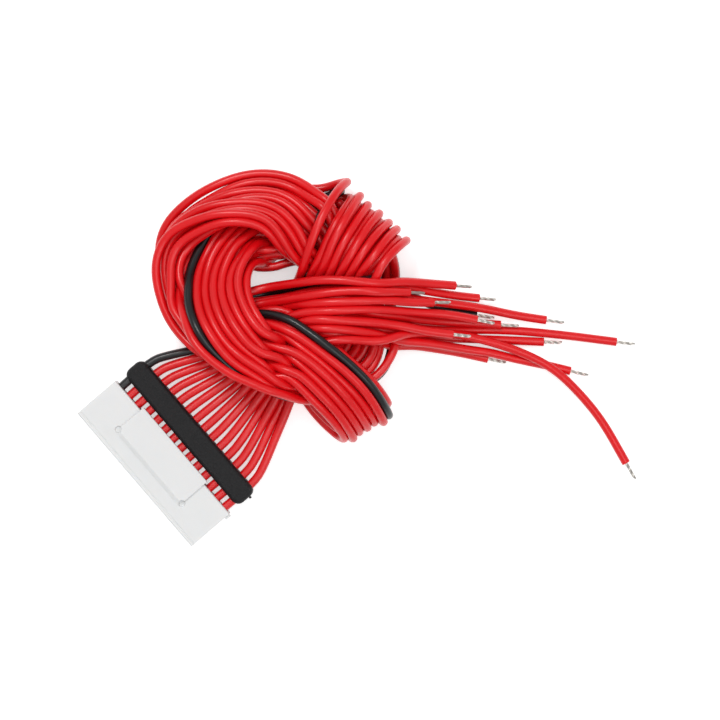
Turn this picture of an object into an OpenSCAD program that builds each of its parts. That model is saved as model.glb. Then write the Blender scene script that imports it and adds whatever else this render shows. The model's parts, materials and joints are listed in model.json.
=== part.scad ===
// Balance wire harness for a battery pack, as laid out on a table.
// A 14-way crimp plug and a wire comb stand in line, and the bundle of
// wires leaves the comb, is tied in a loose overhand knot and spreads out
// into its stripped tails.
// Frame: +X along the row of ways from the black wire, +Y the way the wires
// leave the comb, +Z up, origin under the middle of the plug and the comb.

/* [Plug housing] */
// Distance between neighbouring ways
pitch = 2.5; // [2.5:0.01:2.6]
// Plastic outside the first and the last way, from the way's centre
end_margin = 1.75; // [1.6:0.05:2.4]
// Size of the housing from its mating face to its wire side
housing_d = 10.3; // [9.8:0.1:12]
// Height of the housing over the raised pad
housing_h = 5.8; // [5.6:0.1:6.6]
// Radius of the housing's long edges
housing_r = 0.3; // [0.2:0.05:0.5]
// Drop from the raised pad to the end areas
pad_drop = 0.5; // [0.3:0.05:0.6]
// Length of the raised pad, from the wire side towards the mating face
pad_d = 6; // [4:0.1:7]
// How far the pad's tab stands past the wire side
tab_d = 0.8; // [0.5:0.1:1.1]
// Size of the hollow at each front corner of the pad
corner_pocket = 1.4; // [1:0.1:1.8]
// Width of the groove behind the mating edge
groove_w = 0.3; // [0.2:0.05:0.4]
// Depth of the groove behind the mating edge
groove_depth = 0.15; // [0.1:0.05:0.2]
// How far the key rib stands out of the end
key_out = 0.5; // [0.3:0.05:0.8]
// Thickness of the key rib along the wires
key_d = 1; // [0.8:0.1:1.5]

/* [Ways] */
// Height of a cavity
cavity_h = 2.9; // [2.7:0.1:3.2]
// Thickness of the front wall at the mating face
front_wall = 0.9; // [0.7:0.1:1.2]
// Width of the pin mouth in the front wall
mouth_w = 1; // [0.8:0.05:1.2]
// Width of a lance window in the underside
window_w = 1.1; // [0.9:0.05:1.3]
// Length of a lance window
window_d = 2.2; // [1.6:0.1:2.6]

/* [Contacts] */
// Thickness of the contact's sheet metal
sheet_t = 0.15; // [0.12:0.01:0.18]
// Gap between a contact and its cavity
contact_gap = 0.05; // [0.03:0.01:0.08]
// Gap between the insulation and its crimp
crimp_gap = 0.02; // [0.01:0.01:0.04]
// Length of the contact's box
contact_box_d = 4.2; // [3.6:0.1:4.6]
// Length of the neck between the box and the insulation crimp
contact_neck_d = 1.6; // [1.2:0.1:1.8]
// Length of the insulation crimp
crimp_d = 1.4; // [1:0.1:1.6]

/* [Wires] */
// Outside diameter of a wire
wire_d = 1.7; // [1.5:0.05:1.75]
// Diameter of the bare strands
strand_d = 0.7; // [0.5:0.05:0.9]
// Length of the stripped end
strip_l = 3.8; // [3:0.1:5]

/* [Wire comb] */
// Gap from the housing to the comb
comb_gap = 2.1; // [1.5:0.1:3]
// Size of the comb along the wires
comb_d = 5; // [4:0.1:6]
// Height of the comb
comb_h = 5.2; // [4.9:0.1:6]
// Radius of the comb's long edges
comb_r = 1; // [0.4:0.1:1.4]
// How far the comb's nub stands out of its end
nub_out = 0.4; // [0.2:0.1:0.8]
// Gap round a wire in the comb
comb_clear = 0.05; // [0.03:0.01:0.08]

/* [Hidden] */
ways = 14;
pad_ways = 8;
tube_sides = 8;
curve_fn = 48;
overrun = 1;

row_w = (ways - 1) * pitch;
body_w = row_w + 2 * end_margin;
overall_d = housing_d + comb_gap + comb_d;
mating_y = -overall_d / 2;
wire_side_y = mating_y + housing_d;
comb_y = wire_side_y + comb_gap;
exit_y = comb_y + comb_d;
low_h = housing_h - pad_drop;
wire_z = low_h / 2 + 0.2;
pad_w = pad_ways * pitch;
crimp_bore = wire_d + 2 * crimp_gap;
box_w = crimp_bore + 2 * sheet_t;
cavity_w = box_w + 2 * contact_gap;
cavity_front_y = mating_y + front_wall;
box_h = cavity_h - 2 * contact_gap;
neck_y = cavity_front_y + contact_box_d;
crimp_y = neck_y + contact_neck_d;

function way_x(k) = -row_w / 2 + k * pitch;

// The bundle.
// Each row of ROUTE is one cross-section of the bundle, in the frame that the
// harness is laid out in, whose origin is the middle of the comb's exit:
// x, y, z, the direction of the black wire's side of the bundle in degrees,
// its dip out of level, the spread (1 is wires side by side in two rows), the
// curl of the section, and the turn of the two outermost wires about each
// other.
lay_angle = 49.4;
stack_pitch = 1.8;
pair_shift = 1.1;
exit_spread = pitch / (stack_pitch / 2);
ROUTE = [
    [0, 0, wire_z, 131, 0, exit_spread, 0, 0],
    [3.5, 3, 2.9, 131, 0, 2.55, 0, 0],
    [8.5, 7.5, 2.7, 131, 0, 1.95, 0, 0],
    [14.5, 13.5, 2.8, 133, 0, 1.35, 0, 10],
    [20.5, 19.5, 4.4, 142, -4, 1.05, 0, 35],
    [26, 26, 8, 150, -10, 1.1, 0, 40],
    [29, 32, 11.8, 148, 0, 1.15, 0, 42],
    [32, 37.5, 12.6, 144, 0, 1.3, -20, 50],
    [34.5, 41.5, 9.6, 140, 0, 1.4, -20, 55],
    [36, 43, 6, 139, 0, 1.4, 0, 65],
    [34.5, 42.5, 3.6, 140, 0, 1.35, 0, 75],
    [28.5, 40.5, 1.9, 124, 0, 1.05, 0, 85],
    [21.5, 38.5, 1.7, 106, 0, 1, 0, 90],
    [15, 38, 1.9, 100, 0, 1, 0, 90],
    [8.5, 35.5, 4.6, 138, -22, 0.9, 0, 90],
    [4, 29, 10, 166, -25, 1, 20, 90],
    [5.5, 21.5, 14.6, 195, 0, 1, 30, 100],
    [10, 15.5, 15.6, 218, 0, 0.95, 30, 150],
    [15, 12, 13.2, 240, 25, 0.85, 0, 225],
    [21.5, 9, 8, 268, 12, 0.75, 0, 230],
    [28, 11, 6.4, 300, 0, 0.75, 0, 225],
    [33, 14, 5.4, 340, 0, 0.9, 0, 212],
    [34, 21, 5.2, 373, 0, 1, 0, 212],
    [31, 27, 5.7, 393, 6, 1, 0, 212],
    [27.5, 33.5, 8.4, 402, 18, 1, 0, 212],
    [22.5, 39.5, 10.6, 408, -5, 1.1, 0, 212],
    [17, 44.5, 10, 425, -35, 1.15, 20, 212],
    [11, 45.5, 9.8, 445, -44, 1.1, 20, 212],
    [4.5, 44, 9, 465, -60, 0.95, 20, 205],
    [0, 41.5, 7.6, 490, -72, 0.85, 0, 190],
    [-4, 38, 6.6, 530, -87, 0.75, 0, 180],
    [-5.5, 33, 6.4, 700, -80, 0.75, 0, 180],
    [-4.5, 27.5, 6.6, 735, -75, 0.75, 0, 180],
    [-1.5, 22, 7.4, 755, -62, 0.8, 0, 180],
    [4, 18, 10.2, 768, -35, 0.9, 0, 180],
    [11.5, 17.5, 11.2, 776, -6, 1, 0, 180],
    [19.5, 15.5, 13.4, 776, 0, 0.9, 0, 180],
    [26.5, 10, 14, 770, 0, 0.9, 0, 180],
    [31.5, 5, 11.4, 755, 0, 0.95, 0, 180],
    [34.5, 0.5, 6.4, 747, 0, 0.95, 0, 180],
    [33, 1.5, 2.4, 750, 0, 1, 0, 190],
    [27.5, 7, 1.7, 760, 0, 1, 0, 190],
    [24.5, 13.5, 1.7, 730, 0, 1, 0, 208],
    [28, 20, 1.7, 695, 0, 1.1, 0, 208],
    [32.5, 25.5, 1.7, 690, 0, 1.1, 0, 208],
    [34.5, 30, 2.2, 708, 0, 1, 0, 208],
    [33.5, 35, 4.8, 740, 0, 0.95, 0, 208],
    [28.5, 39.5, 5.2, 775, -5, 1, 0, 205],
    [21, 42, 5.2, 800, 0, 1, 0, 205],
    [14, 43, 5, 812, 0, 1, 0, 205],
    [7.5, 42, 5, 830, -10, 0.95, 20, 205],
    [2, 38.5, 5, 860, -20, 0.85, 20, 205],
    [1, 33, 4, 895, 0, 0.75, 0, 200],
    [1.5, 28, 4.2, 888, 35, 0.55, 0, 170],
    [4.5, 24.5, 4.8, 855, 75, 0.5, 0, 120],
    [8.5, 22.5, 5.6, 820, 35, 0.6, 0, 60],
    [13.5, 22, 7.2, 810, 0, 0.85, 0, 35],
    [19.5, 22.5, 10.2, 810, 0, 0.95, 0, 35],
    [27, 23.5, 14, 810, 0, 1, 0, 35]
];
// The rest of each wire after the bundle, to the end of its insulation
TAILS = [
    [[37, 28.5, 11.6], [43.5, 26.5, 7], [49, 24, 4], [57, 22.5, 2.4]],
    [[37, 29, 13.6], [44.5, 29, 9.6], [52.5, 28.5, 6]],
    [[37, 28, 12], [45.5, 27.5, 7.6], [52.5, 26.5, 4.2], [57.5, 26, 2.6]],
    [[36, 27.5, 13.8], [43, 27, 10.6]],
    [[37, 26.5, 12], [45.5, 25.5, 7.6], [57.5, 24, 3.6], [65, 22.5, 1.4], [71.5, 21.5, 0.9]],
    [[36.5, 25.5, 13.6], [42.5, 25, 11], [48, 25, 8.8]],
    [[36.5, 22.5, 11], [45.5, 21.5, 6.4], [53.5, 21, 3.4], [62, 20.5, 2.4]],
    [[35.5, 23.5, 12.8], [44.5, 23, 9], [51.5, 22.5, 6.6], [57, 21.5, 5.4]],
    [[36, 21, 10.6], [47.5, 19.5, 4.4], [61.5, 19.5, 0.9], [74, 18.5, 0.9], [86, 17, 0.9]],
    [[35.5, 21, 12.4], [44, 19.5, 9.4], [52, 18.5, 7.4]],
    [[36, 19.5, 9.8], [47.5, 18, 3.6], [59.5, 17.5, 0.9], [71, 17, 0.9]],
    [[36, 18.5, 11.2], [45.5, 17, 6.6], [57.5, 15, 2.4], [67.5, 13, 0.9], [76.5, 11, 0.9]],
    [[36, 17.5, 8.8], [45.5, 16, 3.4], [52.5, 15, 1.2], [59.5, 13.5, 0.9]],
    [[36, 17.5, 11.4], [43.5, 18.5, 7.4], [49.5, 19, 5], [55.5, 18, 3.8], [61.5, 16.5, 2.6], [68, 14, 2.6],
        [74, 10.5, 2.2], [82, 2, 0.9], [88, -8, 0.9]]
];

function unit(v) = v / norm(v);
function sum_dir(a, b, c) = unit(unit(b - a) + unit(c - b));
function turned(p) = [
    p[0] * cos(lay_angle) - p[1] * sin(lay_angle),
    p[0] * sin(lay_angle) + p[1] * cos(lay_angle) + exit_y,
    p[2]
];

// Frame of each cross-section: along the bundle, towards the black wire's side, and square to both
last_row = len(ROUTE) - 1;
PLACES = [for (row = ROUTE) [row[0], row[1], row[2]]];
ALONG = [
    for (i = [0 : last_row])
        i == 0 ? unit(PLACES[1] - PLACES[0])
        : i == last_row ? unit(PLACES[i] - PLACES[i - 1])
        : sum_dir(PLACES[i - 1], PLACES[i], PLACES[i + 1])
];
function aim(row) = [cos(row[3]) * cos(row[4]), sin(row[3]) * cos(row[4]), sin(row[4])];
SIDE = [for (i = [0 : last_row]) unit(aim(ROUTE[i]) - ALONG[i] * (aim(ROUTE[i]) * ALONG[i]))];

// Heights of the four kinds of place in a two-row section that narrows to four rows
function row_gap(s) = sqrt(max(0, pow(stack_pitch, 2) - pow(stack_pitch * s / 2, 2)));
function extra_gap(s) = stack_pitch * sqrt(max(0, 1 - s * s));
function flat_place(k, s) = [
    ((ways - 1) / 2 - k) * stack_pitch / 2 * s,
    [-row_gap(s) / 2 - extra_gap(s), row_gap(s) / 2, -row_gap(s) / 2, row_gap(s) / 2 + extra_gap(s)][k % 4]
];
// The two outermost wires turn about the point between them, and move out to clear the next wire
function paired_place(k, s, turn) =
    let (
        middle = (flat_place(0, s) + flat_place(1, s)) / 2,
        arm = flat_place(k, s) - middle
    ) [
        middle[0] + arm[0] * cos(turn) + arm[1] * sin(turn) + pair_shift * abs(sin(turn)),
        middle[1] - arm[0] * sin(turn) + arm[1] * cos(turn)
    ];
function place(k, s, turn) = k < 2 ? paired_place(k, s, turn) : flat_place(k, s);
// The section may curl: a place keeps its distance from the middle along an arc
function curled(p, s, curl) =
    curl == 0 ? p
    : let (radius = (ways - 1) * stack_pitch / 2 * s / (curl * PI / 180), angle = p[0] / radius * 180 / PI) [
        (radius + p[1]) * sin(angle),
        p[1] * cos(angle) - radius * (1 - cos(angle))
    ];
function route_point(k, i) =
    let (s = ROUTE[i][5], p = curled(place(k, s, ROUTE[i][7]), s, ROUTE[i][6]))
    PLACES[i] + SIDE[i] * p[0] + cross(ALONG[i], SIDE[i]) * p[1];
function wire_route(k) = concat(
    [[way_x(k), crimp_y, wire_z]],
    [for (i = [0 : last_row]) i == 0 ? [way_x(k), exit_y, wire_z] : turned(route_point(k, i))],
    [for (p = TAILS[k]) turned(p)]
);
function end_way(points) = unit(points[len(points) - 1] - points[len(points) - 2]);

// A tube along points, with one ring at each: closed by a flat face at both ends
function ring_ways(points) =
    let (last = len(points) - 1) [
        for (i = [0 : last])
            i == 0 ? unit(points[1] - points[0])
            : i == last ? unit(points[last] - points[last - 1])
            : sum_dir(points[i - 1], points[i], points[i + 1])
    ];
function squared(v, way) = unit(v - way * (v * way));
function ring_sides(ways_list) = [
    for (i = 0, side = squared([0, 0, 1], ways_list[0]); i < len(ways_list);
        i = i + 1, side = i < len(ways_list) ? squared(side, ways_list[i]) : side) side
];
module tube(points, d) {
    dirs = ring_ways(points);
    sides = ring_sides(dirs);
    count = len(points);
    rings = [
        for (i = [0 : count - 1], j = [0 : tube_sides - 1])
            let (angle = (j + 0.5) * 360 / tube_sides)
            points[i] + d / 2 * (sides[i] * cos(angle) + cross(dirs[i], sides[i]) * sin(angle))
    ];
    start_face = [[for (j = [0 : tube_sides - 1]) j]];
    end_face = [[for (j = [tube_sides - 1 : -1 : 0]) (count - 1) * tube_sides + j]];
    wall = [
        for (i = [0 : count - 2], j = [0 : tube_sides - 1])
            let (a = i * tube_sides + j, b = i * tube_sides + (j + 1) % tube_sides)
            each [[a, a + tube_sides, b], [b, a + tube_sides, b + tube_sides]]
    ];
    polyhedron(points = rings, faces = concat(start_face, wall, end_face), convexity = 10);
}

// A bar along X with rounded long edges: w long, d deep from y = 0, h high from z = 0
module edge_profile(d, h, r) {
    translate([r, 0]) square([d - 2 * r, h]);
    translate([0, r]) square([d, h - 2 * r]);
    for (y = [r, d - r], z = [r, h - r]) translate([y, z]) circle(r, $fn = curve_fn);
}
module rounded_bar(w, d, h, r) {
    rotate([90, 0, 90]) translate([0, 0, -w / 2]) linear_extrude(w) edge_profile(d, h, r);
}
// A rib that stands out of the body's last end, rooted in the plastic behind it
module end_rib(out, d, h, y, z) {
    translate([body_w / 2 - end_margin / 2, y, z]) cube([end_margin / 2 + out, d, h]);
}
// A block centred on X, from y and z upwards
module block(w, d, h, y, z) {
    translate([-w / 2, y, z]) cube([w, d, h]);
}

// The moulded housing: low ends, a raised pad with its tab, and one cavity for each way
module pad_front() {
    // the pad's front slopes down to the low level
    translate([-pad_w / 2, 0, 0]) rotate([90, 0, 90]) linear_extrude(pad_w)
        polygon([
            [wire_side_y - pad_d - 2 * pad_drop, low_h],
            [wire_side_y - pad_d, housing_h],
            [wire_side_y, housing_h],
            [wire_side_y, low_h - pad_drop],
            [wire_side_y - pad_d, low_h - pad_drop]
        ]);
}
module housing_body() {
    translate([0, mating_y, 0]) rounded_bar(body_w, housing_d, low_h, housing_r);
    pad_front();
    roof_z = wire_z + cavity_h / 2;
    block(pad_w, housing_d / 2 + tab_d, housing_h - roof_z, wire_side_y - housing_d / 2, roof_z);
    end_rib(key_out, key_d, low_h - 2 * housing_r, wire_side_y - key_d - housing_r, housing_r);
}
module cavity() {
    block(cavity_w, housing_d - front_wall + overrun, cavity_h, cavity_front_y, wire_z - cavity_h / 2);
    block(mouth_w, front_wall + 2 * overrun, mouth_w, mating_y - overrun, wire_z - mouth_w / 2);
    block(window_w, window_d, wire_z, cavity_front_y + contact_box_d / 2 - window_d / 2, -overrun);
}
module corner_pockets() {
    for (side = [-1, 1])
        translate([side * pad_w / 2, wire_side_y - pad_d, low_h - pad_drop])
            cylinder(d = corner_pocket, h = 3 * pad_drop, $fn = curve_fn);
}
module plug_housing() {
    color("white")
        difference() {
            housing_body();
            for (k = [0 : ways - 1]) translate([way_x(k), 0, 0]) cavity();
            corner_pockets();
            block(body_w + overrun, groove_w, groove_depth + overrun, mating_y + 2 * housing_r, low_h - groove_depth);
        }
}

// The black comb that keeps the wires in their order behind the plug
module wire_comb() {
    color("black")
        difference() {
            union() {
                translate([0, comb_y, 0]) rounded_bar(body_w, comb_d, comb_h, comb_r);
                end_rib(nub_out, nub_out, comb_h - 2 * comb_r, comb_y + comb_d - comb_r - nub_out, comb_r);
            }
            for (k = [0 : ways - 1])
                translate([way_x(k), comb_y - overrun, wire_z]) rotate([-90, 0, 0])
                    cylinder(d = wire_d + 2 * comb_clear, h = comb_d + 2 * overrun, $fn = curve_fn);
        }
}

// A crimped contact: an open-ended box, a neck under the strands and a crimp round the insulation
module crimp_barrel(inner_d, y, d) {
    translate([0, y, wire_z]) rotate([-90, 0, 0])
        difference() {
            cylinder(d = inner_d + 2 * sheet_t, h = d, $fn = curve_fn);
            translate([0, 0, -overrun]) cylinder(d = inner_d, h = d + 2 * overrun, $fn = curve_fn);
        }
}
module contact(k) {
    color("silver")
        translate([way_x(k), 0, 0]) {
            difference() {
                block(box_w, contact_box_d - contact_gap, box_h, cavity_front_y + contact_gap, wire_z - box_h / 2);
                block(box_w - 2 * sheet_t, contact_box_d + 2 * overrun, box_h - 2 * sheet_t,
                    cavity_front_y - overrun, wire_z - box_h / 2 + sheet_t);
            }
            block(crimp_bore, contact_neck_d + crimp_d + sheet_t, (box_h - crimp_bore) / 2, neck_y - sheet_t,
                wire_z - box_h / 2);
            crimp_barrel(crimp_bore, crimp_y, crimp_d);
        }
}

module wire(k) {
    color(k == 0 ? "#1c1c1e" : "#d3121a") tube(wire_route(k), wire_d);
}
// The tinned strands that stand out of the insulation
module strand_tip(k) {
    route = wire_route(k);
    way = end_way(route);
    color("silver")
        translate(route[len(route) - 1])
            rotate([0, acos(way[2]), atan2(way[1], way[0])])
                cylinder(d = strand_d, h = strip_l, $fn = curve_fn);
}

plug_housing();
wire_comb();
wire(0);  // wire_black
wire(1);  // wire_red_01
wire(2);  // wire_red_02
wire(3);  // wire_red_03
wire(4);  // wire_red_04
wire(5);  // wire_red_05
wire(6);  // wire_red_06
wire(7);  // wire_red_07
wire(8);  // wire_red_08
wire(9);  // wire_red_09
wire(10);  // wire_red_10
wire(11);  // wire_red_11
wire(12);  // wire_red_12
wire(13);  // wire_red_13
strand_tip(0);  // tip_black
strand_tip(1);  // tip_red_01
strand_tip(2);  // tip_red_02
strand_tip(3);  // tip_red_03
strand_tip(4);  // tip_red_04
strand_tip(5);  // tip_red_05
strand_tip(6);  // tip_red_06
strand_tip(7);  // tip_red_07
strand_tip(8);  // tip_red_08
strand_tip(9);  // tip_red_09
strand_tip(10);  // tip_red_10
strand_tip(11);  // tip_red_11
strand_tip(12);  // tip_red_12
strand_tip(13);  // tip_red_13
contact(0);  // contact_black
contact(1);  // contact_red_01
contact(2);  // contact_red_02
contact(3);  // contact_red_03
contact(4);  // contact_red_04
contact(5);  // contact_red_05
contact(6);  // contact_red_06
contact(7);  // contact_red_07
contact(8);  // contact_red_08
contact(9);  // contact_red_09
contact(10);  // contact_red_10
contact(11);  // contact_red_11
contact(12);  // contact_red_12
contact(13);  // contact_red_13
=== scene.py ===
import json
import math

import bmesh
import bpy
import numpy as np
from bpy.props import FloatProperty, FloatVectorProperty, IntProperty, PointerProperty
from bpy.types import Operator, Panel, PropertyGroup
from mathutils import Matrix, Vector, kdtree

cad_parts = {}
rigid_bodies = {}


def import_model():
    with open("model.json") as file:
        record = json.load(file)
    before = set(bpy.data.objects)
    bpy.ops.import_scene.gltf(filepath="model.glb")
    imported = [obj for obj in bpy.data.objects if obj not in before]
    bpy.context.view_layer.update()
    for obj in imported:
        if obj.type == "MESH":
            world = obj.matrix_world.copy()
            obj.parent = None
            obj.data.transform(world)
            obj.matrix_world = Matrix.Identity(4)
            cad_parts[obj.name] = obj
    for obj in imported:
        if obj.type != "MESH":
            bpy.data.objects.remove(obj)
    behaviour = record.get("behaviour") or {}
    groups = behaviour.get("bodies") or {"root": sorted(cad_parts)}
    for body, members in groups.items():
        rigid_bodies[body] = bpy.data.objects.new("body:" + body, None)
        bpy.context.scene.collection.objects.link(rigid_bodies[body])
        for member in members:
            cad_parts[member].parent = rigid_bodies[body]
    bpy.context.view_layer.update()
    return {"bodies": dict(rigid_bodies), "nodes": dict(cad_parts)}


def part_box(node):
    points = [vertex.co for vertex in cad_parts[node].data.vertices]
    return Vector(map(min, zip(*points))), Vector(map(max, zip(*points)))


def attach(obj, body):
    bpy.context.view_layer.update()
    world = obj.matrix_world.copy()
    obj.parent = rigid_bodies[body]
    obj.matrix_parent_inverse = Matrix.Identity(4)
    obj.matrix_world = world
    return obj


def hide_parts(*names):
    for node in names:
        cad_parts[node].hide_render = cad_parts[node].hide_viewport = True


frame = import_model()

bl_info = {
    "name": "Balance Wire Harness",
    "version": (1, 0, 0),
    "blender": (4, 5, 0),
    "location": "View3D > Sidebar > Harness",
    "description": "Dresses a balance wire harness: plug, comb, knotted wires and stripped tails",
    "category": "Object",
}

# ---------------------------------------------------------------- the frame's own sizes, in metres

BODY = next(iter(frame["bodies"]))
WIRE_NAMES = ["black"] + [f"red_{n:02d}" for n in range(1, 14)]
COMB_LOW, COMB_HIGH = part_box("wire_comb")
EXIT_Y = COMB_HIGH.y
FIRST_LOW, FIRST_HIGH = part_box("contact_black")
LAST_LOW, LAST_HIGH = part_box("contact_red_13")
FIRST_X = (FIRST_LOW.x + FIRST_HIGH.x) / 2
PITCH = ((LAST_LOW.x + LAST_HIGH.x) / 2 - FIRST_X) / (len(WIRE_NAMES) - 1)
WIRE_Z = (FIRST_LOW.z + FIRST_HIGH.z) / 2
# Length of the crimp that holds the insulation, at the wire side of a contact
CRIMP_LENGTH = 0.0014
CRIMP_Y = FIRST_HIGH.y - CRIMP_LENGTH
MM = 0.001

# ---------------------------------------------------------------- colours, camera and lamps

RED_DEEP = "#d8060e"
RED_LIGHT = "#ec0e18"
HOUSING_DEEP = "#e3e4e4"
HOUSING_LIGHT = "#e9eaea"
# Middle and level of the camera's view, in the frame of the layout
VIEW_X = 33.06 * MM
VIEW_Y = 13.27 * MM
VIEW_LEVEL = 8 * MM
# Width of the camera's sensor in mm, and where its view begins and ends
SENSOR_WIDTH = 36.0
CLIP_START = 0.01
CLIP_END = 10.0
ROOM_STRENGTH = 0.5
# How much the floor glows by itself to the camera and in gloss
FLOOR_GLOW = 0.55
# Name, bearing, height, distance, size and share of the power of each lamp
LAMPS = [
    ("key lamp", 120, 0.75, 0.45, 0.22, 1.1),
    ("fill lamp", -40, 0.7, 0.5, 0.4, 0.5),
    ("top lamp", 20, 0.9, 0.1, 0.5, 0.6),
]

# ---------------------------------------------------------------- the route of the bundle

# One row for each cross-section, in the frame that the harness is laid out in, whose origin is
# the middle of the comb's exit: place in metres, the direction of the black wire's side in
# degrees, its dip out of level, the spread, the curl of the section, and the turn of the two
# outermost wires about each other.
LAY_ANGLE = math.radians(49.4)
STACK_PITCH = 0.0018
PAIR_SHIFT = 0.0011
ROUTE = [
    (0.0, 0.0, WIRE_Z, 131, 0, PITCH / (STACK_PITCH / 2), 0, 0),
    (0.0035, 0.003, 0.0029, 131, 0, 2.55, 0, 0),
    (0.0085, 0.0075, 0.0027, 131, 0, 1.95, 0, 0),
    (0.0145, 0.0135, 0.0028, 133, 0, 1.35, 0, 10),
    (0.0205, 0.0195, 0.0044, 142, -4, 1.05, 0, 35),
    (0.026, 0.026, 0.008, 150, -10, 1.1, 0, 40),
    (0.029, 0.032, 0.0118, 148, 0, 1.15, 0, 42),
    (0.032, 0.0375, 0.0126, 144, 0, 1.3, -20, 50),
    (0.0345, 0.0415, 0.0096, 140, 0, 1.4, -20, 55),
    (0.036, 0.043, 0.006, 139, 0, 1.4, 0, 65),
    (0.0345, 0.0425, 0.0036, 140, 0, 1.35, 0, 75),
    (0.0285, 0.0405, 0.0019, 124, 0, 1.05, 0, 85),
    (0.0215, 0.0385, 0.0017, 106, 0, 1, 0, 90),
    (0.015, 0.038, 0.0019, 100, 0, 1, 0, 90),
    (0.0085, 0.0355, 0.0046, 138, -22, 0.9, 0, 90),
    (0.004, 0.029, 0.01, 166, -25, 1, 20, 90),
    (0.0055, 0.0215, 0.0146, 195, 0, 1, 30, 100),
    (0.01, 0.0155, 0.0156, 218, 0, 0.95, 30, 150),
    (0.015, 0.012, 0.0132, 240, 25, 0.85, 0, 225),
    (0.0215, 0.009, 0.008, 268, 12, 0.75, 0, 230),
    (0.028, 0.011, 0.0064, 300, 0, 0.75, 0, 225),
    (0.033, 0.014, 0.0054, 340, 0, 0.9, 0, 212),
    (0.034, 0.021, 0.0052, 373, 0, 1, 0, 212),
    (0.031, 0.027, 0.0057, 393, 6, 1, 0, 212),
    (0.0275, 0.0335, 0.0084, 402, 18, 1, 0, 212),
    (0.0225, 0.0395, 0.0106, 408, -5, 1.1, 0, 212),
    (0.017, 0.0445, 0.01, 425, -35, 1.15, 20, 212),
    (0.011, 0.0455, 0.0098, 445, -44, 1.1, 20, 212),
    (0.0045, 0.044, 0.009, 465, -60, 0.95, 20, 205),
    (0.0, 0.0415, 0.0076, 490, -72, 0.85, 0, 190),
    (-0.004, 0.038, 0.0066, 530, -87, 0.75, 0, 180),
    (-0.0055, 0.033, 0.0064, 700, -80, 0.75, 0, 180),
    (-0.0045, 0.0275, 0.0066, 735, -75, 0.75, 0, 180),
    (-0.0015, 0.022, 0.0074, 755, -62, 0.8, 0, 180),
    (0.004, 0.018, 0.0102, 768, -35, 0.9, 0, 180),
    (0.0115, 0.0175, 0.0112, 776, -6, 1, 0, 180),
    (0.0195, 0.0155, 0.0134, 776, 0, 0.9, 0, 180),
    (0.0265, 0.01, 0.014, 770, 0, 0.9, 0, 180),
    (0.0315, 0.005, 0.0114, 755, 0, 0.95, 0, 180),
    (0.0345, 0.0005, 0.0064, 747, 0, 0.95, 0, 180),
    (0.033, 0.0015, 0.0024, 750, 0, 1, 0, 190),
    (0.0275, 0.007, 0.0017, 760, 0, 1, 0, 190),
    (0.0245, 0.0135, 0.0017, 730, 0, 1, 0, 208),
    (0.028, 0.02, 0.0017, 695, 0, 1.1, 0, 208),
    (0.0325, 0.0255, 0.0017, 690, 0, 1.1, 0, 208),
    (0.0345, 0.03, 0.0022, 708, 0, 1, 0, 208),
    (0.0335, 0.035, 0.0048, 740, 0, 0.95, 0, 208),
    (0.0285, 0.0395, 0.0052, 775, -5, 1, 0, 205),
    (0.021, 0.042, 0.0052, 800, 0, 1, 0, 205),
    (0.014, 0.043, 0.005, 812, 0, 1, 0, 205),
    (0.0075, 0.042, 0.005, 830, -10, 0.95, 20, 205),
    (0.002, 0.0385, 0.005, 860, -20, 0.85, 20, 205),
    (0.001, 0.033, 0.004, 895, 0, 0.75, 0, 200),
    (0.0015, 0.028, 0.0042, 888, 35, 0.55, 0, 170),
    (0.0045, 0.0245, 0.0048, 855, 75, 0.5, 0, 120),
    (0.0085, 0.0225, 0.0056, 820, 35, 0.6, 0, 60),
    (0.0135, 0.022, 0.0072, 810, 0, 0.85, 0, 35),
    (0.0195, 0.0225, 0.0102, 810, 0, 0.95, 0, 35),
    (0.027, 0.0235, 0.014, 810, 0, 1, 0, 35),
]
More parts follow.
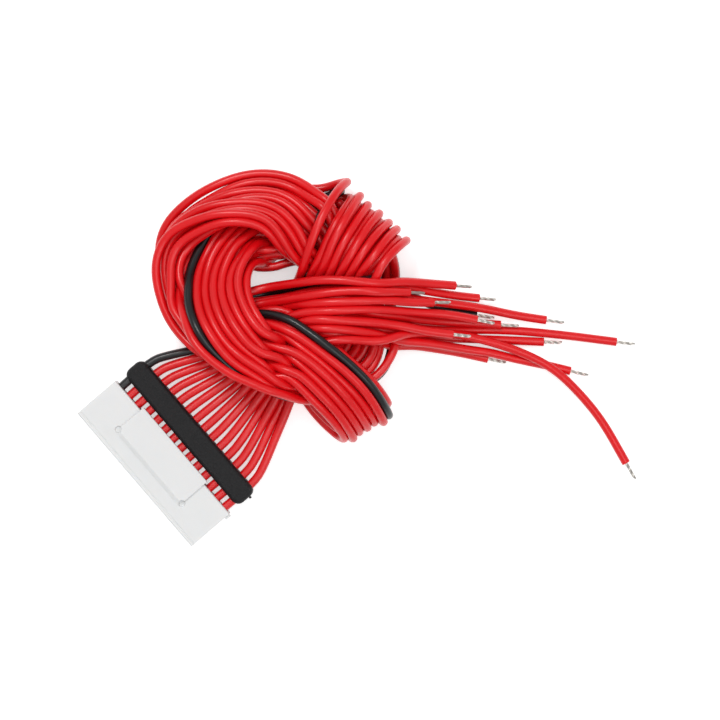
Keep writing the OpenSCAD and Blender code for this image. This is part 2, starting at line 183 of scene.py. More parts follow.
# The rest of each wire after the bundle, to the end of its insulation, in metres
TAILS = [
    [
        (0.037, 0.0285, 0.0116), (0.0435, 0.0265, 0.007),
        (0.049, 0.024, 0.004), (0.057, 0.0225, 0.0024),
    ],
    [(0.037, 0.029, 0.0136), (0.0445, 0.029, 0.0096), (0.0525, 0.0285, 0.006)],
    [
        (0.037, 0.028, 0.012), (0.0455, 0.0275, 0.0076),
        (0.0525, 0.0265, 0.0042), (0.0575, 0.026, 0.0026),
    ],
    [(0.036, 0.0275, 0.0138), (0.043, 0.027, 0.0106)],
    [
        (0.037, 0.0265, 0.012), (0.0455, 0.0255, 0.0076), (0.0575, 0.024, 0.0036),
        (0.065, 0.0225, 0.0014), (0.0715, 0.0215, 0.0009),
    ],
    [(0.0365, 0.0255, 0.0136), (0.0425, 0.025, 0.011), (0.048, 0.025, 0.0088)],
    [
        (0.0365, 0.0225, 0.011), (0.0455, 0.0215, 0.0064),
        (0.0535, 0.021, 0.0034), (0.062, 0.0205, 0.0024),
    ],
    [
        (0.0355, 0.0235, 0.0128), (0.0445, 0.023, 0.009),
        (0.0515, 0.0225, 0.0066), (0.057, 0.0215, 0.0054),
    ],
    [
        (0.036, 0.021, 0.0106), (0.0475, 0.0195, 0.0044), (0.0615, 0.0195, 0.0009),
        (0.074, 0.0185, 0.0009), (0.086, 0.017, 0.0009),
    ],
    [(0.0355, 0.021, 0.0124), (0.044, 0.0195, 0.0094), (0.052, 0.0185, 0.0074)],
    [
        (0.036, 0.0195, 0.0098), (0.0475, 0.018, 0.0036),
        (0.0595, 0.0175, 0.0009), (0.071, 0.017, 0.0009),
    ],
    [
        (0.036, 0.0185, 0.0112), (0.0455, 0.017, 0.0066), (0.0575, 0.015, 0.0024),
        (0.0675, 0.013, 0.0009), (0.0765, 0.011, 0.0009),
    ],
    [
        (0.036, 0.0175, 0.0088), (0.0455, 0.016, 0.0034),
        (0.0525, 0.015, 0.0012), (0.0595, 0.0135, 0.0009),
    ],
    [
        (0.036, 0.0175, 0.0114), (0.0435, 0.0185, 0.0074), (0.0495, 0.019, 0.005),
        (0.0555, 0.018, 0.0038), (0.0615, 0.0165, 0.0026), (0.068, 0.014, 0.0026),
        (0.074, 0.0105, 0.0022), (0.082, 0.002, 0.0009), (0.088, -0.008, 0.0009),
    ],
]


# Where the soft bundle lies off the plain route: row, and its shift in mm
EASED = {
    11: (0, 0.5, 0),
    12: (0, 3, 0),
    13: (-0.5, 3.2, 0.5),
    14: (-0.5, 2.2, 2.5),
    15: (0, 0.8, 0.5),
    48: (0, -2.5, 0),
    49: (0, -3, 0),
    50: (0, -3, -0.5),
    51: (0, -1.5, -1),
}
# Single wires that lie loose: wire, row, shift in mm, and the reach of the shift in rows
LOOSE = [
    (0, 9, (-0.8, -1.0, -1.6), 2.5),
    (0, 19, (0.8, 2.0, -0.6), 1.6),
    (0, 42.5, (-1.2, 0, 0.3), 1.5),
    (1, 29.5, (-1.5, 0.8, 1.5), 2.2),
    (3, 30.5, (-1.0, 0.2, 1.0), 1.8),
]
# How far the wires wander about their places in the bundle
WANDER = 0.3 * MM
# The tightest bend that the insulation takes, twice its diameter
BEND_RADIUS = 3.6 * MM

# How settling goes: the rounds between two looks for neighbours, how far those lie at most in
# diameters, how many pushes on a point count in full, and how strongly in each round the bend
# is eased, a tight bend is opened and a point is drawn back to its route
SEARCH_ROUNDS = 8
SEARCH_REACH = 1.5
FULL_PUSHES = 1.6
EASING = 0.5
OPENING = 0.6
DRAWING_BACK = 0.01
# Sections along a twisted strand, and how deep the strands are rooted in the insulation
TWIST_STEPS = 14
STRAND_ROOT = 0.3 * MM
# Room between settled wires
WIRE_GAP = 0.02 * MM
# Points of the smooth path between two of the route
FINE_POINTS = 12


def squared(v, way):
    """v without its part along way, one long"""
    v = v - way * np.dot(v, way)
    return v / np.linalg.norm(v)


def directions(points):
    """Unit direction of a path at each of its points"""
    steps = np.diff(points, axis=0)
    steps /= np.linalg.norm(steps, axis=1)[:, None]
    along = np.vstack([steps[:1], steps[:-1] + steps[1:], steps[-1:]])
    return along / np.linalg.norm(along, axis=1)[:, None]


def flat_place(k, spread):
    """Place of wire k in a section of two rows, which go to four rows as it narrows"""
    row_gap = math.sqrt(max(0, STACK_PITCH**2 - (STACK_PITCH * spread / 2) ** 2))
    extra_gap = STACK_PITCH * math.sqrt(max(0, 1 - spread * spread))
    heights = [-row_gap / 2 - extra_gap, row_gap / 2, -row_gap / 2, row_gap / 2 + extra_gap]
    return np.array([((len(WIRE_NAMES) - 1) / 2 - k) * STACK_PITCH / 2 * spread, heights[k % 4]])


def place(k, spread, turn):
    """Place of wire k; the two outermost wires turn about the point between them"""
    if k > 1:
        return flat_place(k, spread)
    middle = (flat_place(0, spread) + flat_place(1, spread)) / 2
    arm = flat_place(k, spread) - middle
    c, s = math.cos(turn), math.sin(turn)
    return middle + [arm[0] * c + arm[1] * s + PAIR_SHIFT * abs(s), arm[1] * c - arm[0] * s]


def curled(p, spread, curl):
    """A place that keeps its distance from the middle along an arc"""
    if curl == 0:
        return p
    radius = (len(WIRE_NAMES) - 1) * STACK_PITCH / 2 * spread / curl
    angle = p[0] / radius
    across = (radius + p[1]) * math.sin(angle)
    return np.array([across, p[1] * math.cos(angle) - radius * (1 - math.cos(angle))])


def turned(points):
    """From the frame of the layout to the frame of the part"""
    c, s = math.cos(LAY_ANGLE), math.sin(LAY_ANGLE)
    x, y, z = np.asarray(points, float).T
    return np.stack([x * c - y * s, x * s + y * c + EXIT_Y, z], axis=1)


def wire_points(k):
    """The route's points of wire k, from its crimp to the end of its insulation"""
    rows = np.array(ROUTE, float)
    places = rows[:, :3].copy()
    for n, shift in EASED.items():
        places[n] += np.array(shift) * MM
    along = directions(places)
    points = []
    for i, row in enumerate(rows):
        bearing, dip, curl, turn = np.radians(row[[3, 4, 6, 7]])
        level = math.cos(dip)
        aim = np.array([math.cos(bearing) * level, math.sin(bearing) * level, math.sin(dip)])
        side = squared(aim, along[i])
        u, v = curled(place(k, row[5], turn), row[5], curl)
        if i > 2:
            u += WANDER * math.sin(1.7 * k + 0.9 * i)
            v += WANDER * math.sin(2.3 * k + 0.63 * i + 1)
        point = places[i] + side * u + np.cross(along[i], side) * v
        for wire, centre, shift, reach in LOOSE:
            if wire == k:
                point = point + np.array(shift) * MM * math.exp(-(((i - centre) / reach) ** 2))
        points.append(point)
    path = turned(points + TAILS[k])
    x = FIRST_X + k * PITCH
    path[0] = [x, EXIT_Y, WIRE_Z]
    return np.vstack([[[x, CRIMP_Y, WIRE_Z]], path])


# ---------------------------------------------------------------- how the wires lie on each other


def rounded(points, spacing):
    """A smooth path through points, with even steps of about spacing"""
    ends = np.vstack([2 * points[0] - points[1], points, 2 * points[-1] - points[-2]])
    t = np.linspace(0, 1, FINE_POINTS, endpoint=False)[:, None]
    fine = []
    for p0, p1, p2, p3 in zip(ends, ends[1:], ends[2:], ends[3:]):
        fine.append(
            0.5
            * (
                2 * p1
                + (p2 - p0) * t
                + (2 * p0 - 5 * p1 + 4 * p2 - p3) * t**2
                + (3 * p1 - p0 - 3 * p2 + p3) * t**3
            )
        )
    fine = np.vstack(fine + [points[-1:]])
    run = np.concatenate([[0], np.cumsum(np.linalg.norm(np.diff(fine, axis=0), axis=1))])
    count = int(round(run[-1] / spacing)) + 1
    at = np.linspace(0, run[-1], count)
    return np.stack([np.interp(at, run, fine[:, axis]) for axis in range(3)], axis=1)


def close_pairs(points, owner, step, reach):
    """Index pairs of points within reach, apart from neighbours on one wire"""
    tree = kdtree.KDTree(len(points))
    for i, p in enumerate(points):
        tree.insert(p, i)
    tree.balance()
    skip = int(math.ceil(2.2 * reach / step))
    pairs = []
    for i, p in enumerate(points):
        for _, j, _ in tree.find_range(p, reach):
            if j > i and (owner[i] != owner[j] or j - i > skip):
                pairs.append((i, j))
    return np.array(pairs, int).reshape(-1, 2)


def unbent(points, inner, free, step, radius):
    """The move that opens each bend tighter than radius"""
    near = inner.copy()
    near[1:-1] &= inner[:-2] & inner[2:]
    near &= free
    at = np.flatnonzero(near)
    sag = (points[at - 2] + points[at + 2]) / 2 - points[at]
    depth = np.linalg.norm(sag, axis=1)
    most = (2 * step) ** 2 / (2 * radius)
    move = np.zeros_like(points)
    tight = depth > most
    move[at[tight]] = OPENING * sag[tight] * (1 - most / depth[tight])[:, None]
    return move


def settled(paths, diameter, step, rounds, stray):
    """Lets the wires push each other apart, keep their bend and rest on the table"""
    owner = np.concatenate([np.full(len(p), k) for k, p in enumerate(paths)])
    inner = np.concatenate([[False] + [True] * (len(p) - 2) + [False] for p in paths])
    # The first stretch stays in the comb
    free = inner & (np.vstack(paths)[:, 1] > EXIT_Y + 2 * diameter)
    free |= inner & (np.vstack(paths)[:, 2] > 2 * diameter)
    points = np.vstack(paths)
    start = points.copy()
    for n in range(rounds):
        if n % SEARCH_ROUNDS == 0:
            pairs = close_pairs(points, owner, step, SEARCH_REACH * diameter)
            i, j = pairs.T
        gap = points[j] - points[i]
        apart = np.linalg.norm(gap, axis=1)
        near = apart < diameter
        push = gap[near] / apart[near, None] * ((diameter - apart[near]) * 0.5)[:, None]
        move = np.zeros_like(points)
        hits = np.zeros(len(points))
        np.add.at(move, j[near], push)
        np.add.at(move, i[near], -push)
        np.add.at(hits, j[near], 1)
        np.add.at(hits, i[near], 1)
        move /= np.maximum(1, hits / FULL_PUSHES)[:, None]
        points[free] += move[free]
        bend = np.zeros_like(points)
        bend[1:-1] = (points[:-2] + points[2:]) / 2 - points[1:-1]
        bend[~inner] = 0
        ease = np.zeros_like(points)
        ease[1:-1] = bend[1:-1] - (bend[:-2] + bend[2:]) / 2
        points[free] += EASING * ease[free]
        points += unbent(points, inner, free, step, BEND_RADIUS)
        points[free] += DRAWING_BACK * (start[free] - points[free])
        off = points - start
        far = np.linalg.norm(off, axis=1)
        over = far > stray
        points[over] = start[over] + off[over] * (stray / far[over])[:, None]
        points[:, 2] = np.maximum(points[:, 2], diameter / 2)
    cuts = np.cumsum([len(p) for p in paths])[:-1]
    return np.split(points, cuts)


# ---------------------------------------------------------------- materials


def linear(code):
    """An sRGB hex colour as linear red, green, blue and alpha"""
    parts = [int(code[i : i + 2], 16) / 255 for i in (1, 3, 5)]
    return [p / 12.92 if p <= 0.04045 else ((p + 0.055) / 1.055) ** 2.4 for p in parts] + [1.0]


def add(tree, kind, settings=None, **links):
    """Adds a node with its settings, and links or sets its inputs by name, or by number as i0"""
    node = tree.nodes.new(kind)
    for name, value in (settings or {}).items():
        setattr(node, name, value)
    for name, value in links.items():
        by_number = name[0] == "i" and name[1:].isdigit()
        socket = node.inputs[int(name[1:]) if by_number else name.replace("_", " ")]
        if isinstance(value, bpy.types.NodeSocket):
            tree.links.new(value, socket)
        else:
            socket.default_value = value
    return node


def new_material(name):
    """An empty material with a Principled shader on its output"""
    material = bpy.data.materials.new(name)
    material.use_nodes = True
    tree = material.node_tree
    tree.nodes.clear()
    shader = add(tree, "ShaderNodeBsdfPrincipled")
    add(tree, "ShaderNodeOutputMaterial", Surface=shader.outputs["BSDF"])
    return material, tree, shader


def clouded(tree, coords, size, detail, roughness=0.5):
    """Noise whose clouds or grains are about size metres across"""
    noise = add(
        tree,
        "ShaderNodeTexNoise",
        Vector=coords,
        Scale=1.0 / size,
        Detail=detail,
        Roughness=roughness,
    )
    return noise.outputs["Fac"]


def tinted(tree, shader, factor, deep, light):
    """Colours the shader from deep to light"""
    tint = add(tree, "ShaderNodeMix", {"data_type": "RGBA"}, Factor=factor, i6=deep, i7=light)
    tree.links.new(tint.outputs[2], shader.inputs["Base Color"])


def glossed(tree, shader, value, smooth, rough):
    """Lets the shader's roughness vary from smooth to rough"""
    gloss = add(tree, "ShaderNodeMapRange", Value=value, To_Min=smooth, To_Max=rough)
    tree.links.new(gloss.outputs["Result"], shader.inputs["Roughness"])


def bumped(tree, shader, height, strength, distance):
    """Raises the shader's surface by height"""
    bump = add(tree, "ShaderNodeBump", Height=height, Strength=strength, Distance=distance)
    tree.links.new(bump.outputs["Normal"], shader.inputs["Normal"])


def insulation_material(name, deep, light, roughness):
    """Soft PVC insulation, extruded over the strands: a satin skin with fine draw lines,
    a little cloudy in colour"""
    material, tree, shader = new_material(name)
    coords = add(tree, "ShaderNodeTexCoord").outputs["Object"]
    tinted(tree, shader, clouded(tree, coords, 0.006, 3.0, 0.55), deep, light)
    skin = clouded(tree, coords, 0.0006, 4.0, 0.6)
    glossed(tree, shader, skin, roughness - 0.06, roughness + 0.08)
    bumped(tree, shader, skin, 0.12, 0.00003)
    shader.inputs["IOR"].default_value = 1.5
    return material


def natural_nylon(deep, light):
    """Nylon 66, moulded without pigment: milky white, slightly see-through where it is thin,
    with a satin skin and faint flow clouds"""
    material, tree, shader = new_material("natural nylon 66, moulded")
    coords = add(tree, "ShaderNodeTexCoord").outputs["Object"]
    tinted(tree, shader, clouded(tree, coords, 0.008, 3.0), deep, light)
    bumped(tree, shader, clouded(tree, coords, 0.0004, 3.0), 0.1, 0.00002)
    shader.inputs["Roughness"].default_value = 0.42
    shader.inputs["IOR"].default_value = 1.53
    shader.inputs["Subsurface Weight"].default_value = 0.35
    shader.inputs["Subsurface Radius"].default_value = [0.0012, 0.0011, 0.001]
    shader.inputs["Subsurface Scale"].default_value = 1.0
    return material


def black_comb_plastic(deep, light):
    """ABS, moulded in a spark-eroded tool: black, with a fine matt grain that scatters the light"""
    material, tree, shader = new_material("black ABS, spark textured")
    coords = add(tree, "ShaderNodeTexCoord").outputs["Object"]
    grain = clouded(tree, coords, 0.0005, 5.0, 0.7)
    tinted(tree, shader, grain, deep, light)
    bumped(tree, shader, grain, 0.9, 0.00025)
    shader.inputs["Roughness"].default_value = 0.5
    shader.inputs["IOR"].default_value = 1.53
    shader.inputs["Specular IOR Level"].default_value = 0.3
    return material


def tinned_metal(name, tone, roughness, grain):
    """Tin over copper or bronze: soft silver-grey with a fine, uneven sheen"""
    material, tree, shader = new_material(name)
    coords = add(tree, "ShaderNodeTexCoord").outputs["Object"]
    glossed(tree, shader, clouded(tree, coords, grain, 3.0), roughness - 0.08, roughness + 0.12)
    shader.inputs["Base Color"].default_value = linear(tone)
    shader.inputs["Metallic"].default_value = 1.0
    return material


def white_table():
    """White paper sweep: white to the camera, and the shadow of the harness stays on it"""
    material, tree, shader = new_material("white paper sweep")
    shader.inputs["Base Color"].default_value = linear("#f4f4f4")
    shader.inputs["Roughness"].default_value = 0.9
    rays = add(tree, "ShaderNodeLightPath")
    seen = add(
        tree,
        "ShaderNodeMath",
        {"operation": "MAXIMUM"},
        i0=rays.outputs["Is Camera Ray"],
        i1=rays.outputs["Is Glossy Ray"],
    )
    product = {"operation": "MULTIPLY"}
    weight = add(tree, "ShaderNodeMath", product, i0=seen.outputs[0], i1=FLOOR_GLOW)
    glow = add(tree, "ShaderNodeEmission", Strength=weight.outputs[0])
    both = add(tree, "ShaderNodeAddShader", i0=shader.outputs["BSDF"], i1=glow.outputs["Emission"])
    output = next(n for n in tree.nodes if n.type == "OUTPUT_MATERIAL")
    tree.links.new(both.outputs["Shader"], output.inputs["Surface"])
    return material


# ---------------------------------------------------------------- meshes


def finish_piece(bm, name, material, smooth_angle=math.radians(35)):
    """Turns a bmesh into a piece of the harness that rides with it"""
    bmesh.ops.recalc_face_normals(bm, faces=bm.faces)
    mesh = bpy.data.meshes.new(name)
    bm.to_mesh(mesh)
    bm.free()
    mesh.materials.append(material)
    mesh.shade_smooth()
    mesh.set_sharp_from_angle(angle=smooth_angle)
    piece = bpy.data.objects.new(name, mesh)
    bpy.context.scene.collection.objects.link(piece)
    evened = piece.modifiers.new("even shading", "WEIGHTED_NORMAL")
    evened.weight = 90
    evened.keep_sharp = True
    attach(piece, BODY)
    return piece


def bevel_edges(bm, edges, offset, segments):
    """Rounds edges by offset"""
    bmesh.ops.bevel(
        bm,
        geom=edges,
        offset=offset,
        offset_type="OFFSET",
        segments=segments,
        profile=0.5,
        affect="EDGES",
        clamp_overlap=True,
        material=-1,
    )


def eased_copy(node, width, segments):
    """A merged copy of a CAD node's mesh with its sharp edges eased, as a mould's are"""
    bm = bmesh.new()
    bm.from_mesh(frame["nodes"][node].data)
    bmesh.ops.remove_doubles(bm, verts=bm.verts, dist=1e-6)
    flat = math.radians(1)
    bmesh.ops.dissolve_limit(bm, angle_limit=flat, verts=bm.verts, edges=bm.edges)
    corner = math.radians(40)
    sharp = [e for e in bm.edges if len(e.link_faces) == 2 and e.calc_face_angle(0) > corner]
    bevel_edges(bm, sharp, width, segments)
    return bm


def box_between(bm, low, high):
    """A box from its low corner to its high one"""
    size, middle = high - low, (high + low) / 2
    made = bmesh.ops.create_cube(bm, size=1.0)
    bmesh.ops.scale(bm, vec=size, verts=made["verts"])
    bmesh.ops.translate(bm, vec=middle, verts=made["verts"])


def rise(edge):
    """How much higher one end of an edge is than the other"""
    return abs(edge.verts[0].co.z - edge.verts[1].co.z)


def comb_bar(comb):
    """The comb's bar, with rounded corners and soft along its edges, and the nub on its last end"""
    bm = bmesh.new()
    bar_high = Vector((COMB_HIGH.x - comb.nub, COMB_HIGH.y, COMB_HIGH.z))
    box_between(bm, COMB_LOW, bar_high)
    bevel_edges(bm, [e for e in bm.edges if rise(e) > 1 * MM], comb.end_radius, 6)
    steep = math.radians(60)
    rim = [e for e in bm.edges if rise(e) < 0.01 * MM and e.calc_face_angle(0) > steep]
    bevel_edges(bm, rim, comb.ease, 4)
    # The nub is rooted in the bar's flat end, close to the corner where the wires come out
    nub_y = COMB_HIGH.y - comb.end_radius - comb.nub
    nub_low = Vector((bar_high.x - comb.nub, nub_y, COMB_LOW.z + comb.end_radius))
    nub_high = Vector((COMB_HIGH.x, nub_y + comb.nub, COMB_HIGH.z - comb.end_radius))
    box_between(bm, nub_low, nub_high)
    return bm


def lay_axis(way):
    """Rotation that turns +Z to way"""
    return Vector((0, 0, 1)).rotation_difference(Vector(way)).to_matrix().to_4x4()


def twisted_strands(start, way, length, radius, count, lay):
    """Bare strands, one in the middle and the rest twisted round it"""
    bm = bmesh.new()
    strand = radius / 3
    for n in range(count):
        middle = n == 0
        around = 2 * math.pi * n / (count - 1)
        out = 0 if middle else radius - strand
        offset = Vector((math.cos(around), math.sin(around), 0)) * out
        # The strands are cut a little unevenly
        reach = length * (1 if middle else 0.94 + 0.06 * math.sin(7.3 * n + 40 * start[0]))
        ring = bmesh.ops.create_circle(
            bm, cap_ends=False, segments=8, radius=strand, matrix=Matrix.Translation(offset)
        )
        edges = list({e for v in ring["verts"] for e in v.link_edges})
        swept = bmesh.ops.spin(
            bm,
            geom=ring["verts"] + edges,
            cent=(0, 0, 0),
            axis=(0, 0, 1),
            dvec=(0, 0, reach / TWIST_STEPS),
            angle=2 * math.pi * reach / lay,
            steps=TWIST_STEPS,
            use_merge=False,
            use_duplicate=False,
        )
        end_edges = [g for g in swept["geom_last"] if isinstance(g, bmesh.types.BMEdge)]
        bmesh.ops.contextual_create(bm, geom=edges)
        bmesh.ops.contextual_create(bm, geom=end_edges)
    place_at = Matrix.Translation(Vector(start)) @ lay_axis(way)
    bmesh.ops.transform(bm, matrix=place_at, verts=bm.verts)
    return bm


def tube_curve(name, points, diameter, material):
    """An insulated wire as one open spline with its round section"""
    curve = bpy.data.curves.new(name, "CURVE")
    curve.dimensions = "3D"
    curve.bevel_depth = diameter / 2
    curve.bevel_resolution = 4
    curve.use_fill_caps = True
    spline = curve.splines.new("POLY")
    spline.points.add(len(points) - 1)
    for target, p in zip(spline.points, points):
        target.co = (*p, 1)
    spline.use_smooth = True
    curve.materials.append(material)
    piece = bpy.data.objects.new(name, curve)
    bpy.context.scene.collection.objects.link(piece)
    return piece


# ---------------------------------------------------------------- settings of the panel


def colour(name, description, code):
    """A colour setting from an sRGB hex value"""
    return FloatVectorProperty(
        name=name,
        description=description,
        default=linear(code),
        size=4,
        min=0.0,
        max=1.0,
        subtype="COLOR",
    )


class WireSettings(PropertyGroup):
    diameter: FloatProperty(
        name="Diameter",
        description="Outside diameter of the insulation",
        default=0.0018,
        min=0.001,
        max=0.002,
        unit="LENGTH",
    )
    length: FloatProperty(
        name="Length",
        description="Length of each wire from the plug",
        default=0.456,
        min=0.4,
        max=0.5,
        unit="LENGTH",
    )
    step: FloatProperty(
        name="Step",
        description="Distance between points along a wire",
        default=0.0011,
        min=0.0008,
        max=0.002,
        unit="LENGTH",
    )
    rounds: IntProperty(
        name="Settling rounds",
        description="How often the wires push each other apart",
        default=120,
        min=0,
        max=400,
    )
    stray: FloatProperty(
        name="Stray",
        description="How far settling may carry a wire from its route",
        default=0.0018,
        min=0.0,
        max=0.003,
        unit="LENGTH",
    )
    red_deep: colour("Deep red", "Darker red of the insulation", RED_DEEP)
    red_light: colour("Light red", "Lighter red of the insulation", RED_LIGHT)
    black_deep: colour("Deep black", "Darker black of the insulation", "#0b0c0e")
    black_light: colour("Light black", "Lighter black of the insulation", "#17181b")


class StrandSettings(PropertyGroup):
    count: IntProperty(
        name="Strands",
        description="Strands in a wire, one of them in the middle",
        default=7,
        min=4,
        max=12,
    )
    reach: FloatProperty(
        name="Bare length",
        description="Length of the strands past the insulation",
        default=0.0038,
        min=0.001,
        max=0.006,
        unit="LENGTH",
    )
    radius: FloatProperty(
        name="Radius",
        description="Radius of the twisted strands together",
        default=0.00034,
        min=0.0002,
        max=0.0006,
        unit="LENGTH",
    )
    lay: FloatProperty(
        name="Lay",
        description="Length in which the strands go round once",
        default=0.011,
        min=0.003,
        max=0.02,
        unit="LENGTH",
    )


class HousingSettings(PropertyGroup):
    ease: FloatProperty(
        name="Edge radius",
        description="Radius on the edges of the moulded plug housing",
        default=0.00012,
        min=0.00002,
        max=0.0003,
        unit="LENGTH",
    )
    deep: colour("Deep white", "Darker tone of the unpigmented nylon", HOUSING_DEEP)
    light: colour("Light white", "Lighter tone of the unpigmented nylon", HOUSING_LIGHT)


class CombSettings(PropertyGroup):
    ease: FloatProperty(
        name="Edge radius",
        description="Radius along the edges of the wire comb",
        default=0.0008,
        min=0.0002,
        max=0.0015,
        unit="LENGTH",
    )
    end_radius: FloatProperty(
        name="End radius",
        description="Radius of the corners at both ends of the wire comb",
        default=0.0016,
        min=0.0005,
        max=0.0024,
        unit="LENGTH",
    )
    nub: FloatProperty(
        name="Nub",
        description="How far the nub stands out of the last end of the wire comb",
        default=0.0004,
        min=0.0,
        max=0.001,
        unit="LENGTH",
    )
    deep: colour("Deep black", "Darker tone of the grain", "#050506")
    light: colour("Light black", "Lighter tone of the grain", "#17171a")


class StageSettings(PropertyGroup):
    floor_size: FloatProperty(
        name="Floor size",
        description="Side of the white floor",
        default=1.6,
        min=0.5,
        max=5.0,
        unit="LENGTH",
    )
    camera_height: FloatProperty(
        name="Camera height",
        description="Height of the camera over the floor",
        default=0.62,
        min=0.2,
        max=2.0,
        unit="LENGTH",
    )
    view_width: FloatProperty(
        name="View width",
        description="Width of the picture at the height of the wires",
        default=0.1469,
        min=0.05,
        max=0.5,
        unit="LENGTH",
    )
    lamp_power: FloatProperty(
        name="Lamp power",
        description="Power of the main lamp",
        default=2.1,
        min=0.0,
        max=50.0,
        unit="POWER",
    )


# ---------------------------------------------------------------- operators


def settled_paths():
    """The centrelines of the wires, smoothed and laid on each other"""
    wires = bpy.context.scene.harness_wires
    paths = [rounded(wire_points(k), wires.step) for k in range(len(WIRE_NAMES))]
    return settled(paths, wires.diameter + WIRE_GAP, wires.step, wires.rounds, wires.stray)


class HARNESS_OT_wires(Operator):
    """Draw the insulated wires along their knotted route"""

    bl_idname = "harness.wires"
    bl_label = "Insulated wires"

    def execute(self, context):
        wires = context.scene.harness_wires
        skins = {
            kind: insulation_material(f"{kind} PVC insulation, extruded", deep, light, 0.3)
            for kind, deep, light in (
                ("red", wires.red_deep, wires.red_light),
                ("black", wires.black_deep, wires.black_light),
            )
        }
        for name, path in zip(WIRE_NAMES, settled_paths()):
            kind = "black" if name == "black" else "red"
            wire = tube_curve(f"insulation_{name}", path, wires.diameter, skins[kind])
            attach(wire, BODY)
            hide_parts(f"wire_{name}")
        return {"FINISHED"}


class HARNESS_OT_strands(Operator):
    """Twist the bare strands at the stripped end of each wire"""

    bl_idname = "harness.strands"
    bl_label = "Bare strands"

    def execute(self, context):
        strands = context.scene.harness_strands
        tin = tinned_metal("tinned copper strands, twisted", "#cfcbc5", roughness=0.3, grain=0.0003)
        for k, name in enumerate(WIRE_NAMES):
            wire = bpy.data.objects.get(f"insulation_{name}")
            if wire is None:
                raise RuntimeError("the bare strands need the insulated wires")
            points = wire.data.splines[0].points
            end, before = Vector(points[-1].co[:3]), Vector(points[-3].co[:3])
            way = (end - before).normalized()
            start = end - way * STRAND_ROOT
            length = strands.reach + STRAND_ROOT
            bm = twisted_strands(start, way, length, strands.radius, strands.count, strands.lay)
            bundle = finish_piece(bm, f"strands_{name}", tin)
            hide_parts(f"tip_{name}")
        return {"FINISHED"}


class HARNESS_OT_housing(Operator):
    """Give the moulded plug housing its eased edges and its nylon"""

    bl_idname = "harness.housing"
    bl_label = "Plug housing"

    def execute(self, context):
        housing = context.scene.harness_housing
        nylon = natural_nylon(housing.deep, housing.light)
        bm = eased_copy("plug_housing", housing.ease, 2)
        shell = finish_piece(bm, "housing_moulding", nylon)
        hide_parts("plug_housing")
        return {"FINISHED"}


class HARNESS_OT_comb(Operator):
    """Give the wire comb its eased edges and its black grain"""

    bl_idname = "harness.comb"
    bl_label = "Wire comb"

    def execute(self, context):
        comb = context.scene.harness_comb
        plastic = black_comb_plastic(comb.deep, comb.light)
        smooth = math.radians(60)
        bar = finish_piece(comb_bar(comb), "comb_moulding", plastic, smooth)
        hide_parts("wire_comb")
        return {"FINISHED"}


class HARNESS_OT_contacts(Operator):
    """Plate the crimp contacts inside the housing"""

    bl_idname = "harness.contacts"
    bl_label = "Crimp contacts"

    def execute(self, context):
        plate = tinned_metal(
            "tin-plated phosphor bronze, stamped", "#cfcdc8", roughness=0.28, grain=0.0008
        )
        for name in WIRE_NAMES:
            contact = frame["nodes"][f"contact_{name}"]
            contact.data.materials.clear()
            contact.data.materials.append(plate)
        return {"FINISHED"}


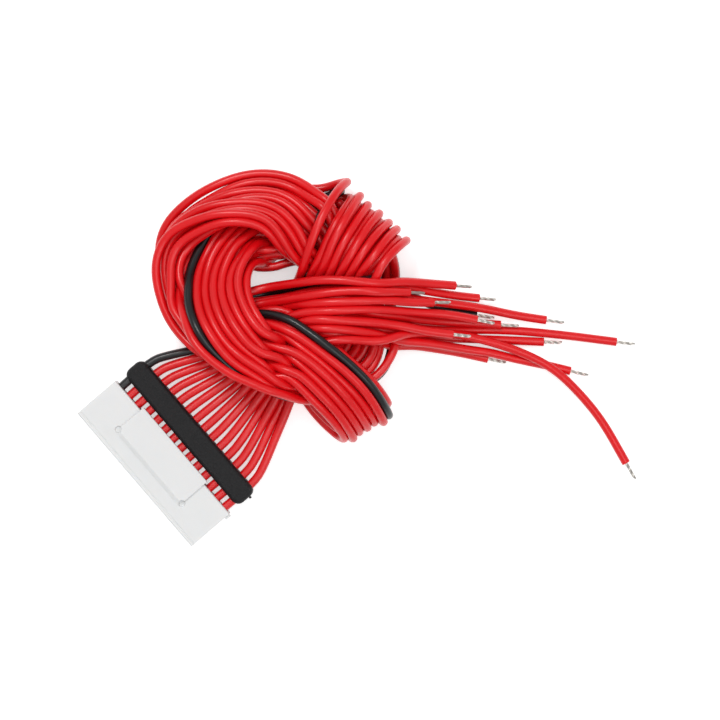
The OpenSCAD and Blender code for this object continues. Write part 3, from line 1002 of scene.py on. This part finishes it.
class HARNESS_OT_stage(Operator):
    """Set the camera over the harness, the white floor and the soft lamps"""

    bl_idname = "harness.stage"
    bl_label = "Camera, floor and lamps"

    def execute(self, context):
        stage = context.scene.harness_stage
        scene = context.scene
        middle = turned([[VIEW_X, VIEW_Y, 0.0]])[0]
        aim = Vector((middle[0], middle[1], VIEW_LEVEL))

        lens = bpy.data.cameras.new("camera over the harness")
        lens.sensor_width = SENSOR_WIDTH
        lens.lens = SENSOR_WIDTH * (stage.camera_height - VIEW_LEVEL) / stage.view_width
        lens.clip_start = CLIP_START
        lens.clip_end = CLIP_END
        camera = bpy.data.objects.new("camera", lens)
        scene.collection.objects.link(camera)
        camera.location = (aim.x, aim.y, stage.camera_height)
        camera.rotation_euler = (0.0, 0.0, LAY_ANGLE)
        scene.camera = camera

        bm = bmesh.new()
        bmesh.ops.create_grid(bm, x_segments=1, y_segments=1, size=stage.floor_size / 2)
        bmesh.ops.translate(bm, vec=(aim.x, aim.y, 0.0), verts=bm.verts)
        mesh = bpy.data.meshes.new("floor")
        bm.to_mesh(mesh)
        bm.free()
        mesh.materials.append(white_table())
        floor = bpy.data.objects.new("floor", mesh)
        scene.collection.objects.link(floor)

        for name, bearing, height, away, size, share in LAMPS:
            light = bpy.data.lights.new(name, "AREA")
            light.shape = "DISK"
            light.size = size
            light.energy = stage.lamp_power * share
            lamp = bpy.data.objects.new(name, light)
            scene.collection.objects.link(lamp)
            around = math.radians(bearing) + LAY_ANGLE
            lamp.location = (
                aim.x + away * math.cos(around),
                aim.y + away * math.sin(around),
                height,
            )
            lamp.rotation_euler = (aim - lamp.location).to_track_quat("-Z", "Y").to_euler()

        world = bpy.data.worlds.new("white room")
        world.use_nodes = True
        tree = world.node_tree
        tree.nodes.clear()
        room = add(tree, "ShaderNodeBackground", Color=linear("#ffffff"), Strength=ROOM_STRENGTH)
        add(tree, "ShaderNodeOutputWorld", Surface=room.outputs["Background"])
        scene.world = world
        scene.view_settings.view_transform = "Standard"
        return {"FINISHED"}


class HARNESS_PT_panel(Panel):
    """Sizes and pieces of the balance wire harness"""

    bl_idname = "HARNESS_PT_panel"
    bl_label = "Balance Wire Harness"
    bl_space_type = "VIEW_3D"
    bl_region_type = "UI"
    bl_category = "Harness"

    def draw(self, context):
        layout = self.layout
        for title, group, operators in PANEL_ROWS:
            box = layout.box()
            box.label(text=title)
            if group:
                settings = getattr(context.scene, group)
                for key in settings.__annotations__:
                    box.prop(settings, key)
            for operator in operators:
                box.operator(operator)


PANEL_ROWS = [
    ("Wires", "harness_wires", ["harness.wires"]),
    ("Bare strands", "harness_strands", ["harness.strands"]),
    ("Plug housing", "harness_housing", ["harness.housing"]),
    ("Wire comb", "harness_comb", ["harness.comb"]),
    ("Crimp contacts", None, ["harness.contacts"]),
    ("Stage", "harness_stage", ["harness.stage"]),
]

GROUPS = {
    "harness_wires": WireSettings,
    "harness_strands": StrandSettings,
    "harness_housing": HousingSettings,
    "harness_comb": CombSettings,
    "harness_stage": StageSettings,
}

OPERATORS = [
    HARNESS_OT_stage,
    HARNESS_OT_wires,
    HARNESS_OT_strands,
    HARNESS_OT_housing,
    HARNESS_OT_comb,
    HARNESS_OT_contacts,
]

CLASSES = [*GROUPS.values(), *OPERATORS, HARNESS_PT_panel]


def register():
    for cls in CLASSES:
        bpy.utils.register_class(cls)
    for name, group in GROUPS.items():
        setattr(bpy.types.Scene, name, PointerProperty(type=group))


def unregister():
    for name in GROUPS:
        delattr(bpy.types.Scene, name)
    for cls in reversed(CLASSES):
        bpy.utils.unregister_class(cls)


def main():
    register()
    bpy.ops.harness.stage()
    bpy.ops.harness.wires()
    bpy.ops.harness.strands()
    bpy.ops.harness.housing()
    bpy.ops.harness.comb()
    bpy.ops.harness.contacts()


if __name__ == "__main__":
    main()
